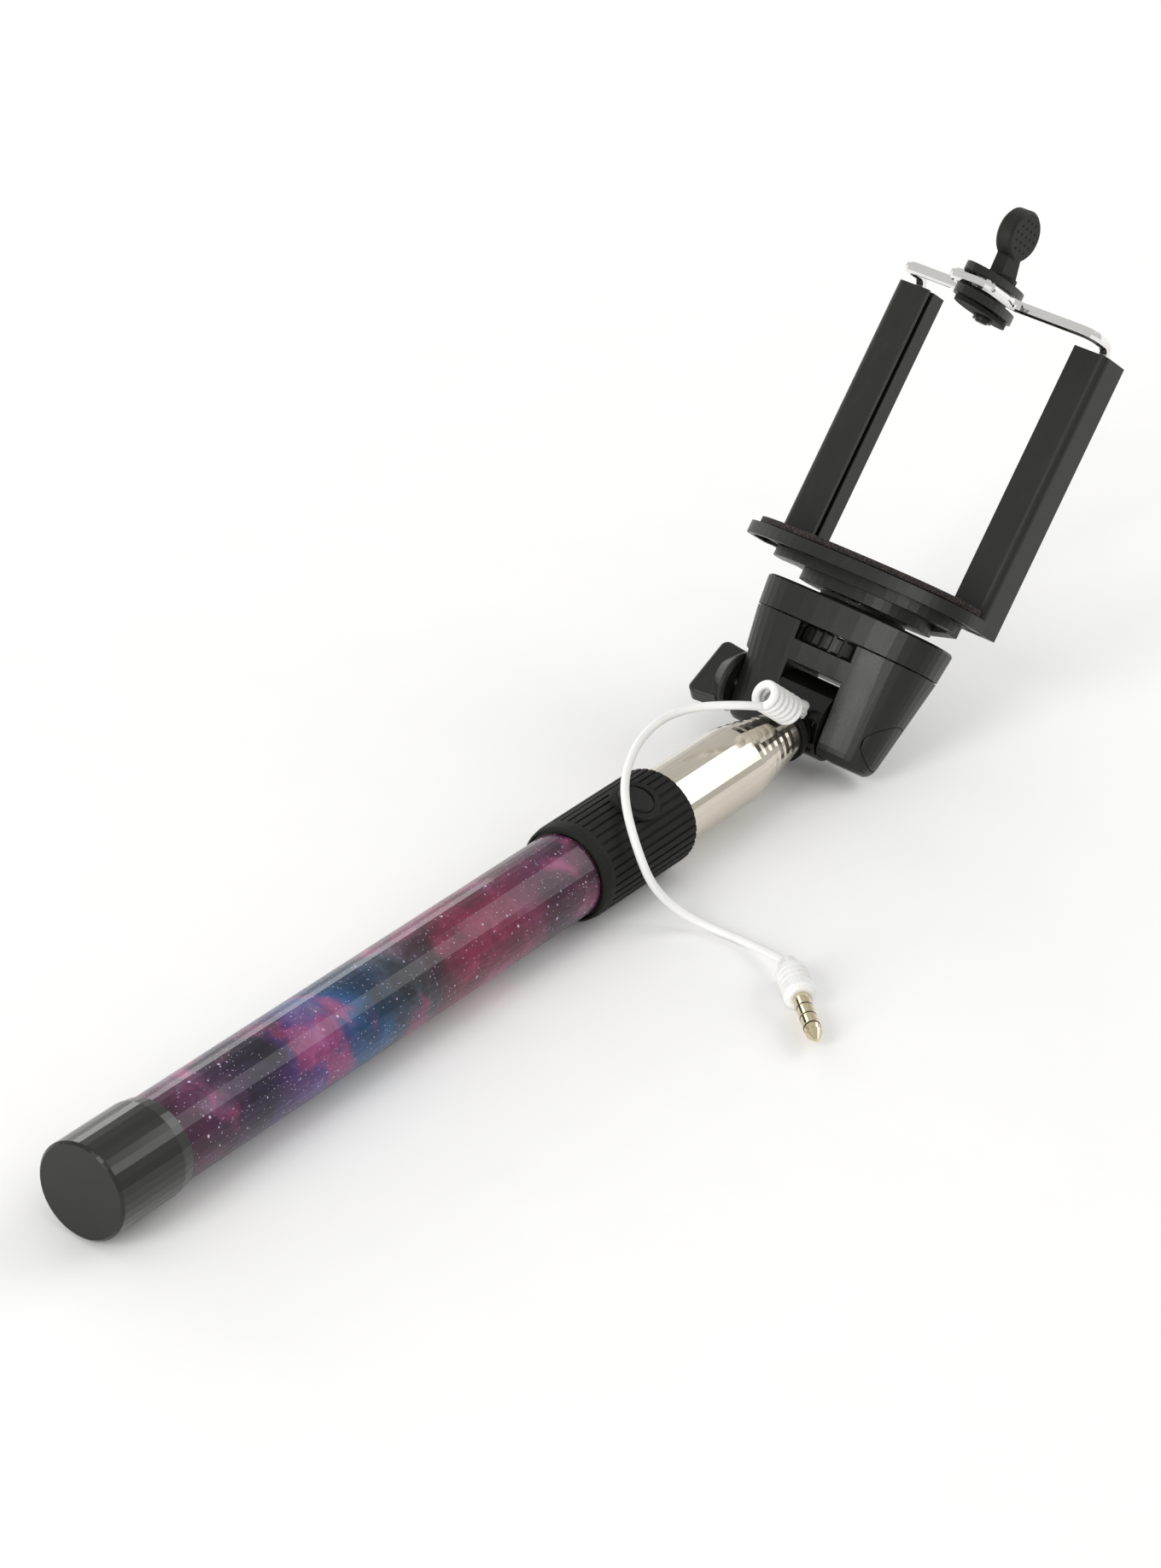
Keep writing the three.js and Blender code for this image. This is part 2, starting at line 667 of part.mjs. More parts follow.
function railNotches(bottom, top, play) {
  const half = railSize / 2 + play;
  return [-1, 1].map((side) => {
    const y = [side * (railSpread - half), side * (railSpread + half + 10)].sort((a, b) => a - b);
    return solid(block([-railForward - half, -railForward + half + 10], y, [bottom, top]));
  });
}

function buildClampBase() {
  const flangeBottom = baseBottom + bossHeight;
  const boss = solid(slab(oval(bossHalf.depth, bossHalf.width, 2.4), baseBottom, flangeBottom + 0.5));
  const flangeAt = (inset) => oval(flangeHalf.depth - inset, flangeHalf.width - inset, 2.4)
    .map((point) => new THREE.Vector2(point.x - flangeForward, point.y));
  const flange = solid(slab(flangeAt(0), flangeBottom, basePlateBottom + 0.5));
  const plate = solid(slab(plateOutline(0), basePlateBottom, basePlateTop));
  const pocketTop = basePlateTop - plateSkin;
  let pocket = solid(slab(plateOutline(rimWall), basePlateBottom - 1, pocketTop))
    .subtract(solid(slab(flangeAt(0), basePlateBottom - 2, pocketTop + 1)));
  for (const side of [-1, 1]) {
    for (const y of [10, 19]) {
      const rib = block([-20, 10], [side * y - 0.6, side * y + 0.6], [basePlateBottom - 2, pocketTop + 1]);
      pocket = pocket.subtract(solid(rib));
    }
    const foot = railSize / 2 + gap + rimWall;
    pocket = pocket.subtract(solid(block([-railForward - foot, 20],
      [side * railSpread - foot, side * railSpread + foot], [basePlateBottom - 2, pocketTop + 1])));
  }
  const insertHole = solid(upright(rod(baseBottom - 1, baseBottom + insertHeight + gap,
    (insertRadius + slip) / Math.cos(Math.PI / 6), 6)));
  const keel = new THREE.Shape([
    [-keelHalf.bottom, baseBottom], [keelHalf.bottom, baseBottom],
    [keelHalf.top, baseBottom + keelFlare], [keelHalf.top, basePlateBottom + 0.5],
    [-keelHalf.top, basePlateBottom + 0.5], [-keelHalf.top, baseBottom + keelFlare],
  ].map(([y, z]) => new THREE.Vector2(y, z)));
  const skirt = new THREE.ExtrudeGeometry(keel, { depth: keelBack - keelFront, bevelEnabled: false })
    .rotateX(Math.PI / 2).rotateZ(Math.PI / 2).translate(keelFront, 0, 0);
  let base = plate.subtract(pocket).add(flange).add(boss).add(solid(skirt)).subtract(insertHole);
  for (const notch of railNotches(baseBottom - 1, basePlateTop + 1, gap)) {
    base = base.subtract(notch);
  }
  piece(clamp, 'clamp_base', geometryOf(base), satinBlack);

  const insert = solid(upright(rod(baseBottom, baseBottom + insertHeight,
    insertRadius / Math.cos(Math.PI / 6), 6)))
    .subtract(solid(upright(rod(baseBottom - 1, baseBottom + insertHeight + 1, screwRadius + slip))));
  piece(clamp, 'threaded_insert', geometryOf(insert), brass);

  const padBottom = basePlateTop + gap;
  let pad = solid(slab(plateOutline(padMargin), padBottom, padBottom + basePadThickness));
  for (const notch of railNotches(padBottom - 1, padBottom + basePadThickness + 1, gap)) {
    pad = pad.subtract(notch);
  }
  piece(clamp, 'base_pad', geometryOf(pad), padBrown);
}

// A square rail with a round bore for the wire's leg and a groove beside its inner front corner.
function buildRail(name, side) {
  const half = railSize / 2;
  const arc = [4, 3, 2, 1, 0].map((step) => {
    const angle = Math.PI + (Math.PI / 8) * (4 - step);
    return [railRound - half + railRound * Math.cos(angle), railRound - half + railRound * Math.sin(angle)];
  });
  const outline = [
    ...arc, [half, -half],
    [half, half - railChamfer], [half - railChamfer, half], [-half, half],
  ].map(([forward, inward]) => new THREE.Vector2(-railForward + forward, side * railSpread - side * inward));
  const shape = side > 0 ? outline : outline.reverse();
  const bore = upright(rod(railBottom - 1, railTop + 1, boreRadius, coarse))
    .translate(-railForward, side * legSpread, 0);
  const front = -railForward - half;
  const groove = block([front + grooveFromFront, front + grooveFromFront + grooveWidth],
    [side * (railSpread - half - 1), side * legSpread].sort((a, b) => a - b), [railBottom + 4, railTop + 1]);
  const rail = solid(slab(shape, railBottom, railTop)).subtract(solid(bore)).subtract(solid(groove));
  piece(clamp, name, geometryOf(rail), satinBlack);
}

const onLeg = (geometry, side) => upright(geometry).translate(-railForward, side * legSpread, 0);

function buildRails() {
  for (const [label, side] of [['left', 1], ['right', -1]]) {
    buildRail(`rail_${label}`, side);
    const bushBottom = railTop - bushLength;
    piece(clamp, `bush_${label}`, onLeg(sleeve(bushBottom, railTop,
      wireRadius + slip, boreRadius - slip, coarse), side), satinBlack);
    const springBottom = railBottom + legFloor + footHeight + gap;
    piece(clamp, `spring_${label}`, onLeg(sleeve(springBottom, bushBottom - gap,
      wireRadius + slip, wireRadius + slip + springWall, coarse), side), zinc);
    piece(clamp, `foot_${label}`, onLeg(sleeve(railBottom + legFloor, railBottom + legFloor + footHeight,
      wireRadius + slip, boreRadius - slip, coarse), side), zinc);
  }
}

// ---------------------------------------------------------------- sliding jaw

function buildWire() {
  const v = (forward, left, up) => new THREE.Vector3(-forward, left, up);
  const crossbar = railForward + crossbarForward;
  const tip = crossbar + tongueReach;
  const corners = [
    v(railForward, legSpread, railBottom + legFloor), v(railForward, legSpread, wireHeight),
    v(crossbar, legSpread, wireHeight), v(crossbar, tongueHalf, wireHeight),
    v(tip, tongueHalf, wireHeight), v(tip, -tongueHalf, wireHeight),
    v(crossbar, -tongueHalf, wireHeight), v(crossbar, -legSpread, wireHeight),
    v(railForward, -legSpread, wireHeight), v(railForward, -legSpread, railBottom + legFloor),
  ];
  piece(clamp, 'wire_frame', rodAlong(rounded(corners, bendRadius, 4), wireRadius, 10), chrome);
}

function jawOutline(inset) {
  return oval(jawHalf.length - inset, jawHalf.width - inset, 1.9, 32)
    .map((point) => new THREE.Vector2(point.x - jawForward, point.y));
}

function buildJaw() {
  const bore = (from, to) => solid(upright(rod(from, to, postRadius + slip)).translate(-postForward, 0, 0));
  const coreHalf = tongueHalf - wireRadius - gap;
  const core = block([-postForward - 4.5, -postForward + 1.9], [-coreHalf, coreHalf],
    [lowerTop + gap, upperBottom + 0.2]);
  const upper = solid(slab(jawOutline(0), upperBottom, upperTop)).add(solid(core))
    .subtract(bore(lowerTop - 1, upperTop + 1));
  piece(clamp, 'jaw_upper', geometryOf(upper), satinBlack);
  const lower = solid(slab(jawOutline(0), lowerBottom, lowerTop))
    .subtract(bore(lowerBottom - 1, lowerTop + 1));
  piece(clamp, 'jaw_lower', geometryOf(lower), satinBlack);
  const pad = solid(slab(jawOutline(0.9), jawPadBottom, lowerBottom - gap))
    .subtract(bore(jawPadBottom - 1, lowerBottom));
  piece(clamp, 'jaw_pad', geometryOf(pad), rubberBlack);
}

// Staggered rows of dimples on both faces of the tab's disc.
function dimplePlaces() {
  const places = [];
  for (let row = -2; row <= 2; row += 1) {
    for (let column = -3; column <= 3; column += 1) {
      const across = (column + (Math.abs(row) % 2) / 2) * dimplePitch;
      const up = row * dimplePitch * Math.sin(Math.PI / 3);
      if (Math.hypot(across, up) < discRadius - 1.5) {
        places.push([across, up, 1], [across, up, -1]);
      }
    }
  }
  return places;
}

function buildTab() {
  const bottom = upperTop + gap;
  const clipBottom = jawPadBottom - gap - 0.7;
  const toPost = (geometry) => geometry.translate(-postForward, 0, 0);
  const post = solid(toPost(upright(rod(clipBottom - 0.3, bottom + 0.5, postRadius))));
  const flange = solid(toPost(upright(rod(bottom, bottom + 1, armBase / 2, coarse))));
  const discUp = bottom + armHeight + discRadius - 0.8;
  const arm = new THREE.Shape([
    [-armBase / 2, bottom + 0.5], [armBase / 2, bottom + 0.5],
    [armNeck / 2 - discForward, discUp - 3], [-armNeck / 2 - discForward, discUp - 3],
  ].map(([x, z]) => new THREE.Vector2(x, z)));
  const blade = new THREE.ExtrudeGeometry(arm, { depth: armThickness, bevelEnabled: false })
    .rotateX(Math.PI / 2).translate(0, armThickness / 2, 0);
  const disc = solid(sideways(turned([
    [-discThickness / 2, 0], [-discThickness / 2, discRadius - 0.6], [-discThickness / 2 + 0.6, discRadius],
    [discThickness / 2 - 0.6, discRadius], [discThickness / 2, discRadius - 0.6], [discThickness / 2, 0],
  ], 32)).translate(-postForward - discForward, 0, discUp));
  let grip = post.add(flange).add(solid(toPost(blade))).add(disc);
  for (const [across, up, face] of dimplePlaces()) {
    const cone = solid(sideways(turned([
      [0, 0], [dimpleDepth, dimpleRadius], [dimpleDepth + 1, dimpleRadius], [dimpleDepth + 1, 0],
    ], 6)).translate(0, discThickness / 2 - dimpleDepth, 0));
    const placed = face > 0 ? cone : cone.rotate([0, 0, 180]);
    grip = grip.subtract(placed.translate([-postForward - discForward + across, 0, discUp + up]));
  }
  piece(clamp, 'tab_grip', geometryOf(grip), rubberBlack);
  piece(clamp, 'post_clip', toPost(upright(sleeve(clipBottom, clipBottom + 0.7,
    postRadius + slip, 2.1, coarse))), satinBlack);
}

// ---------------------------------------------------------------- lead

// Places along the lead: [along the stick from the end cap, left of its axis, above the table].
const coilBase = [220.4, -4.05, 19.3];
const coilAxis = new THREE.Vector3(-0.774, 0.202, 0.6).normalize();
const leadExit = new THREE.Vector3(-0.678, -0.369, -0.636).normalize(); // from the coil's middle
const leadRoute = [
  [205.8, -1.4, 25.8], [202.0, 3.7, 25.1], [198.4, 7.2, 24.4], [193.3, 9.1, 23.9],
  [187.4, 9.2, 23.4], [180.6, 7.7, 23.2], [174.2, 5.0, 23.1], [168.3, 2.0, 23.0], [162.6, -2.0, 22.8],
  [158.4, -6.0, 21.6], [156.0, -9.6, 19.0], [155.8, -12.2, 15.0], [157.6, -13.6, 10.4], [160.4, -15.2, 6.2],
  [163.0, -18.6, 2.8], [165.0, -23.6, 1.2], [165.9, -29.6, 1.0], [165.6, -35.6, 1.4], [164.0, -41.2, 2.6],
];
const plugStart = [162.3, -44.6, 3.4]; // back of the plug's moulded body
const plugHeading = new THREE.Vector3(-0.694, -0.72, 0);

const onTable = ([along, left, up]) => new THREE.Vector3(along, left, up);

function smooth(points, steps) {
  return new THREE.CatmullRomCurve3(points, false, 'centripetal').getSpacedPoints(steps);
}

function aim(geometry, start, heading) {
  const forward = new THREE.Vector3(1, 0, 0);
  const turn = new THREE.Quaternion().setFromUnitVectors(forward, heading.clone().normalize());
  return geometry.applyQuaternion(turn).translate(start.x, start.y, start.z);
}

function buildLead() {
  const base = onTable(coilBase);
  const top = base.clone().addScaledVector(coilAxis, coilLength);
  piece(model, 'cord_coil', aim(rod(0, coilLength, coilRadius, coarse), base, coilAxis), white);

  const outward = new THREE.Vector3(0, -Math.sin(glandTurn), Math.cos(glandTurn));
  const exit = new THREE.Vector3(glandStation, 0, collarRadius).addScaledVector(outward, glandTop + gap);
  const behind = base.clone().addScaledVector(coilAxis, -gap)
    .addScaledVector(new THREE.Vector3(0.7, 0, 0.72), coilRadius - cordRadius - 0.1);
  const link = smooth([exit, exit.clone().addScaledVector(outward, 1.6),
    behind.clone().addScaledVector(coilAxis, -2.2).addScaledVector(outward, -0.2), behind], 9);
  piece(model, 'cord_link', rodAlong(link, cordRadius), white);

  const far = onTable(plugStart);
  const start = top.clone().addScaledVector(coilAxis, gap + cordRadius)
    .addScaledVector(leadExit, coilRadius - cordRadius);
  const route = [start, ...leadRoute.map(onTable), far.clone().addScaledVector(plugHeading, -gap)];
  piece(model, 'cord_lead', rodAlong(smooth(route, 64), cordRadius), white);

  const gripGrooves = [4.6, 6.2, 7.8].flatMap((from) => [
    [from, plugGripRadius], [from + 0.15, plugGripRadius - 0.3],
    [from + 0.65, plugGripRadius - 0.3], [from + 0.8, plugGripRadius],
  ]);
  piece(model, 'plug_grip', aim(turned([
    [0, 0], [0, plugGripRadius - 1.2], [2.6, plugGripRadius - 0.6], [3.4, plugGripRadius],
    ...gripGrooves, [plugGripLength - 1, plugGripRadius], [plugGripLength, plugGripRadius - 1],
    [plugGripLength, 0],
  ], coarse), far, plugHeading), white);
  const contactStart = far.clone().addScaledVector(plugHeading, plugGripLength + gap);
  const bands = [[0, 3.2], [3.6, 6.4], [6.8, 9.6], [10.0, plugLength]];
  const contacts = bands.map(([from, to], index) => {
    const nose = index === bands.length - 1;
    const profile = nose
      ? [[from, 0], [from, plugRadius - 0.05], [from + 1, plugRadius - 0.5], [from + 1.7, plugRadius - 0.1],
        [to, 0.35], [to, 0]]
      : [[from, 0], [from, plugRadius], [to, plugRadius], [to, 0]];
    return solid(turned(profile, coarse));
  });
  const core = solid(rod(-gap / 2, 10.5, 0.8, coarse));
  const contactBody = contacts.reduce((all, one) => all.add(one), core);
  piece(model, 'plug_contacts', aim(geometryOf(contactBody), contactStart, plugHeading), brass);
  for (const [index, from] of [3.2, 6.4, 9.6].entries()) {
    const ring = sleeve(from + 0.03, from + 0.37, 0.85, plugRadius, coarse);
    piece(model, `plug_ring_${index + 1}`, aim(ring, contactStart, plugHeading), rubberBlack);
  }
}

// ---------------------------------------------------------------- assembly

buildHandle();
buildCollar();
buildSections();
buildStem();
buildHead();
buildPivotBolt();
buildThumbwheel();
buildClampBase();
buildRails();
buildWire();
buildJaw();
buildTab();

// The origin sits under the middle of the object itself, and the lead is added after it is found.
model.updateMatrixWorld(true);
const box = new THREE.Box3().setFromObject(model, true);
buildLead();
model.position.set(-(box.min.x + box.max.x) / 2, -(box.min.y + box.max.y) / 2, -box.min.z);
model.updateMatrixWorld(true);

export default model;
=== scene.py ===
"""Finishes and soft pieces of a telescopic selfie stick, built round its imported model.

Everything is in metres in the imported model's frame: +X along the stick, +Y to its left, +Z up.
"""

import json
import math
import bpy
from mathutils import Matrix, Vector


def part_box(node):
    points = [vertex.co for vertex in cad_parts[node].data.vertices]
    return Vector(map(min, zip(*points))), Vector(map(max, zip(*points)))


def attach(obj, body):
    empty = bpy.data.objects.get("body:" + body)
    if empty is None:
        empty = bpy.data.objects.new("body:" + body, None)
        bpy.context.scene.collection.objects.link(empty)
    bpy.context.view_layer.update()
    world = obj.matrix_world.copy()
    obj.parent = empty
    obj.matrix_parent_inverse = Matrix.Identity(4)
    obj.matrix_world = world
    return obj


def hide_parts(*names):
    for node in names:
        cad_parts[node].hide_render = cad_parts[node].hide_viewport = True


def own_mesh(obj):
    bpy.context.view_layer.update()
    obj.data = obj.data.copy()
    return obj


bl_info = {
    "name": "Selfie Stick Finishes",
    "version": (1, 0, 0),
    "blender": (4, 5, 0),
    "location": "View3D > Sidebar > Selfie Stick",
    "description": "Materials, coiled lead, springs and studio for a telescopic selfie stick",
    "category": "Object",
}

import bpy
from bpy.props import FloatProperty, FloatVectorProperty, IntProperty, PointerProperty
from mathutils import Matrix, Vector

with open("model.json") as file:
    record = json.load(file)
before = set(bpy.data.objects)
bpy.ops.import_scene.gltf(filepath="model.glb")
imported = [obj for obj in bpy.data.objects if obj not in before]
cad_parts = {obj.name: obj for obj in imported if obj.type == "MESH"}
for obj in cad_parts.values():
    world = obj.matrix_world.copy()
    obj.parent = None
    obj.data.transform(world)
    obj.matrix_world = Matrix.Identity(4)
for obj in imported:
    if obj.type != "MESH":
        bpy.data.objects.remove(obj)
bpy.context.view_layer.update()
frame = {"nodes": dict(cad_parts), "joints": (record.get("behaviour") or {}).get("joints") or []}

NODES = frame["nodes"]
JOINTS = {joint["name"]: joint for joint in frame["joints"]}
MM = 0.001
EDGE_ANGLE = math.radians(32)  # faces that meet at more than this keep their edge

# ---------------------------------------------------------------- places taken from the frame

cap_low, cap_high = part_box("end_cap")
CAP_END = Vector((cap_low.x, (cap_low.y + cap_high.y) / 2, (cap_low.z + cap_high.z) / 2))
TABLE_START = Vector((CAP_END.x, CAP_END.y, 0))
PIVOT = Vector(JOINTS["head_tilt"]["pos_m"])
HEAD_UP = Vector(JOINTS["jaw_slide"]["axis"])
HEAD_LEAN = math.atan2(HEAD_UP.x, HEAD_UP.z)
CLAMP_TURN = math.radians(8)
JAW_TRAVEL = JOINTS["jaw_slide"]["range_m"][1]


def from_cap(along, left, up):
    """A point given in millimetres from the cap's end, the stick's axis and the table."""
    return TABLE_START + Vector((along, left, up)) * MM


# ---------------------------------------------------------------- shader arithmetic


class Signal:
    """A shader value. Arithmetic on it adds Math nodes to its finish."""

    def __init__(self, finish, socket):
        self.finish = finish
        self.socket = socket

    def math(self, operation, *values, clamp=False):
        settings = {"operation": operation, "use_clamp": clamp}
        return self.finish.node("ShaderNodeMath", settings, dict(enumerate(values)))

    def __add__(self, other):
        return self.math("ADD", self, other)

    def __radd__(self, other):
        return self.math("ADD", other, self)

    def __sub__(self, other):
        return self.math("SUBTRACT", self, other)

    def __rsub__(self, other):
        return self.math("SUBTRACT", other, self)

    def __mul__(self, other):
        return self.math("MULTIPLY", self, other)

    def __rmul__(self, other):
        return self.math("MULTIPLY", other, self)

    def __truediv__(self, other):
        return self.math("DIVIDE", self, other)

    def __rtruediv__(self, other):
        return self.math("DIVIDE", other, self)

    def __pow__(self, other):
        return self.math("POWER", self, other)

    def __neg__(self):
        return self.math("MULTIPLY", self, -1)

    def step(self, low, high):
        """Runs smoothly from 0 at low to 1 at high; low may be the larger."""
        settings = {"interpolation_type": "SMOOTHSTEP", "clamp": True}
        if low > high:
            return 1 - self.step(high, low)
        ends = {"Value": self, "From Min": low, "From Max": high}
        return self.finish.node("ShaderNodeMapRange", settings, ends)


class Finish:
    """One procedural material on a Principled shader."""

    def __init__(self, name, **surface):
        self.material = bpy.data.materials.new(name)
        self.material.use_nodes = True
        self.tree = self.material.node_tree
        self.tree.nodes.clear()
        self.shader = self.tree.nodes.new("ShaderNodeBsdfPrincipled")
        out = self.tree.nodes.new("ShaderNodeOutputMaterial")
        self.tree.links.new(self.shader.outputs["BSDF"], out.inputs["Surface"])
        for socket, value in surface.items():
            self.set(socket.replace("_", " ").title().replace("Ior", "IOR"), value)

    def set(self, socket, value):
        self.plug(self.shader.inputs[socket], value)

    def plug(self, socket, value):
        if isinstance(value, Signal):
            self.tree.links.new(value.socket, socket)
        elif isinstance(value, (int, float)):
            socket.default_value = value
        else:
            value = tuple(value)
            socket.default_value = value + (1.0,) if len(socket.default_value) > len(value) else value

    def node(self, kind, settings=None, inputs=None, output=0):
        """Adds any node: its settings first, with a ramp's stops, then its sockets."""
        made = self.tree.nodes.new(kind)
        for name, value in (settings or {}).items():
            if name == "stops":
                self.fill_ramp(made.color_ramp, value)
            else:
                setattr(made, name, value)
        for name, value in (inputs or {}).items():
            self.plug(made.inputs[name], value)
        return Signal(self, made.outputs[output])

    def fill_ramp(self, ramp, stops):
        while len(ramp.elements) < len(stops):
            ramp.elements.new(1.0)
        for element, (place, colour) in zip(ramp.elements, stops):
            element.position = place
            element.color = (*colour, 1.0)

    # ---- places and patterns

    def place(self):
        return self.node("ShaderNodeTexCoord", output="Object")

    def turned(self, origin, lean=0.0, turn=0.0):
        """Place measured from origin, in axes leant about Y and then turned about their own upright."""
        moved = self.vector("SUBTRACT", self.place(), tuple(origin))
        leant = self.rotated(moved, "Y_AXIS", -lean)
        return self.rotated(leant, "Z_AXIS", -turn) if turn else leant

    def rotated(self, vector, axis, angle):
        values = {"Vector": vector, "Angle": angle}
        return self.node("ShaderNodeVectorRotate", {"rotation_type": axis}, values)

    def vector(self, operation, first, second):
        return self.node("ShaderNodeVectorMath", {"operation": operation}, {0: first, 1: second})

    def axis(self, vector, letter):
        return self.node("ShaderNodeSeparateXYZ", None, {0: vector}, output=letter)

    def stretched(self, vector, scale):
        return self.vector("MULTIPLY", vector, scale)

    def noise(self, vector, scale, detail=3.0, roughness=0.55, distortion=0.0):
        values = {"Vector": vector, "Scale": scale, "Detail": detail}
        values.update(Roughness=roughness, Distortion=distortion)
        return self.node("ShaderNodeTexNoise", None, values, output="Fac")

    def cells(self, vector, scale, feature="F1", output="Distance"):
        values = {"Vector": vector, "Scale": scale}
        return self.node("ShaderNodeTexVoronoi", {"feature": feature}, values, output=output)

    def ramp(self, value, stops):
        made = self.node("ShaderNodeValToRGB", {"stops": stops}, {"Fac": value})
        made.socket.node.color_ramp.interpolation = "EASE"
        return made

    def mix(self, amount, first, second, blend="MIX"):
        values = {0: amount, 6: first, 7: second}
        return self.node("ShaderNodeMix", {"data_type": "RGBA", "blend_type": blend}, values, output=2)

    def shade(self, colour, low, high, amount):
        """Colour multiplied by a grey that runs from low to high with amount."""
        grey = self.node("ShaderNodeMapRange", None, {"Value": amount, "To Min": low, "To Max": high})
        tone = self.node("ShaderNodeCombineColor", None, {0: grey, 1: grey, 2: grey})
        return self.mix(1.0, colour, tone, "MULTIPLY")

    def relief(self, height, depth, edge=0.0):
        """Bumps of the given depth, over edges softened to the given radius."""
        values = {"Height": height, "Strength": 1.0, "Distance": depth}
        if edge:
            values["Normal"] = self.node("ShaderNodeBevel", {"samples": 4}, {"Radius": edge})
        self.set("Normal", self.node("ShaderNodeBump", None, values))

    def give(self, *names):
        """Puts this finish on CAD nodes and other objects."""
        for name in names:
            thing = NODES.get(name) or bpy.data.objects[name]
            thing.data.materials.clear()
            thing.data.materials.append(self.material)
            if thing.type == "MESH" and name in NODES:
                smooth_by_angle(thing)


def smooth_by_angle(thing):
    """Smooth shading that keeps real edges sharp."""
    mesh = thing.data
    if not thing.get("shaded"):
        thing["shaded"] = True
        mesh.shade_smooth()
        mesh.set_sharp_from_angle(angle=EDGE_ANGLE)


# ---------------------------------------------------------------- finishes


def scaled(colour, factor):
    return [channel * factor for channel in colour]


def moulded_black(name, colour, roughness, grain, place=None, edge=0.00018):
    """Black moulded plastic: sparked grain, faint flow marks and handling smears."""
    skin = Finish(name, roughness=roughness, specular_ior_level=0.36)
    where = place(skin) if place else skin.place()
    cloud = skin.noise(where, 90, 4)
    smear = skin.noise(skin.stretched(where, (1, 1, 0.35)), 260, 5, 0.6, 0.8)
    speck = skin.noise(where, 5200, 2, 0.7)
    smeared = skin.mix(smear.step(0.52, 0.75) * 0.35, colour, scaled(colour, 1.9))
    skin.set("Base Color", skin.shade(smeared, 0.75, 1.3, cloud))
    skin.set("Roughness", roughness + (smear - 0.5) * 0.16 + (speck - 0.5) * 0.12)
    skin.relief(speck * grain + cloud * 0.25, 0.00003, edge)
    return skin


def rubber(name, colour, roughness=0.78, dust=0.25):
    """Black rubber with a dull bloom, pores and pale dust."""
    skin = Finish(name, roughness=roughness, specular_ior_level=0.22)
    where = skin.place()
    bloom = skin.noise(where, 160, 4)
    pores = skin.cells(where, 4200)
    specks = skin.noise(where, 2600, 2, 0.8).step(0.66, 0.74) * dust
    worn = skin.mix(bloom.step(0.35, 0.8), colour, scaled(colour, 2.1))
    skin.set("Base Color", skin.mix(specks, worn, (0.18, 0.18, 0.17)))
    skin.set("Roughness", roughness + (bloom - 0.5) * 0.2)
    skin.relief(pores * 0.7 + bloom * 0.4, 0.00004, 0.0002)
    return skin


def drawn_steel(name, colour):
    """Polished stainless tube: draw lines along it, faint polishing rings and water marks."""
    skin = Finish(name, metallic=1.0)
    where = skin.place()
    lines = skin.noise(skin.stretched(where, (12, 900, 900)), 1.0, 4, 0.6)
    broad = skin.noise(skin.stretched(where, (30, 330, 330)), 1.0, 3)
    rings = skin.noise(skin.stretched(where, (2600, 20, 20)), 1.0, 2)
    marks = skin.noise(where, 150, 5, 0.62)
    tone = skin.shade(colour, 0.72, 1.08, lines * 0.5 + broad * 0.5)
    skin.set("Base Color", skin.mix(marks.step(0.6, 0.8) * 0.3, tone, (0.5, 0.46, 0.4)))
    skin.set("Roughness", 0.13 + (lines - 0.5) * 0.12 + rings * 0.05 + marks.step(0.55, 0.8) * 0.08)
    skin.relief(rings * 0.5 + lines * 0.35, 0.000004)
    return skin


def bright_plate(name, colour, roughness=0.06):
    """Bright plated wire with a slight orange peel and a few dull marks."""
    skin = Finish(name, metallic=1.0)
    where = skin.place()
    peel = skin.noise(where, 420, 3)
    marks = skin.noise(where, 900, 4, 0.7)
    skin.set("Base Color", skin.shade(colour, 0.86, 1.04, marks))
    skin.set("Roughness", roughness + marks.step(0.55, 0.8) * 0.16)
    skin.relief(peel, 0.00002)
    return skin


def turned_metal(name, colour, roughness, axis):
    """Plain turned or pressed hardware with tool rings across its axis."""
    skin = Finish(name, metallic=1.0)
    where = skin.place()
    rings = skin.noise(skin.stretched(where, axis), 1.0, 2)
    dull = skin.noise(where, 700, 4)
    skin.set("Base Color", skin.shade(colour, 0.7, 1.1, dull))
    skin.set("Roughness", roughness + (dull - 0.5) * 0.2)
    skin.relief(rings, 0.000012, 0.0001)
    return skin


def white_jacket(name, colour, rest=0.42):
    """Soft white cable jacket: satin, a little yellowed and scuffed."""
    skin = Finish(name, subsurface_weight=0.12, subsurface_radius=(0.0012, 0.001, 0.0008))
    where = skin.place()
    cloud = skin.noise(where, 210, 4)
    scuff = skin.noise(where, 1500, 4, 0.7).step(0.62, 0.75)
    skin.set("Base Color", skin.mix(scuff * 0.25 + cloud.step(0.5, 0.8) * 0.2, colour, (0.62, 0.6, 0.55)))
    skin.set("Roughness", rest + (cloud - 0.5) * 0.15 + scuff * 0.12)
    skin.relief(skin.noise(where, 3800, 2), 0.00001, 0.0001)
    return skin


# ---------------------------------------------------------------- sizes and colours a user may change


def tint(name, description, default):
    return FloatVectorProperty(name=name, description=description, default=default, subtype="COLOR")


def size(name, description, default):
    return FloatProperty(name=name, description=description, default=default, unit="LENGTH")


def strength(name, description, default, subtype):
    return FloatProperty(name=name, description=description, default=default, min=0, subtype=subtype)


class LeadSizes(bpy.types.PropertyGroup):
    diameter: size("Diameter", "Lead's outer diameter", 0.0018)
    coil_diameter: size("Coil diameter", "Outer diameter of the curly section", 0.007)
    coil_length: size("Coil length", "Length of the curly section", 0.0121)
    turns: IntProperty(name="Turns", description="Full turns of the curly section", default=5, min=2)
    colour: tint("Jacket", "Jacket's colour", (0.83, 0.83, 0.81))


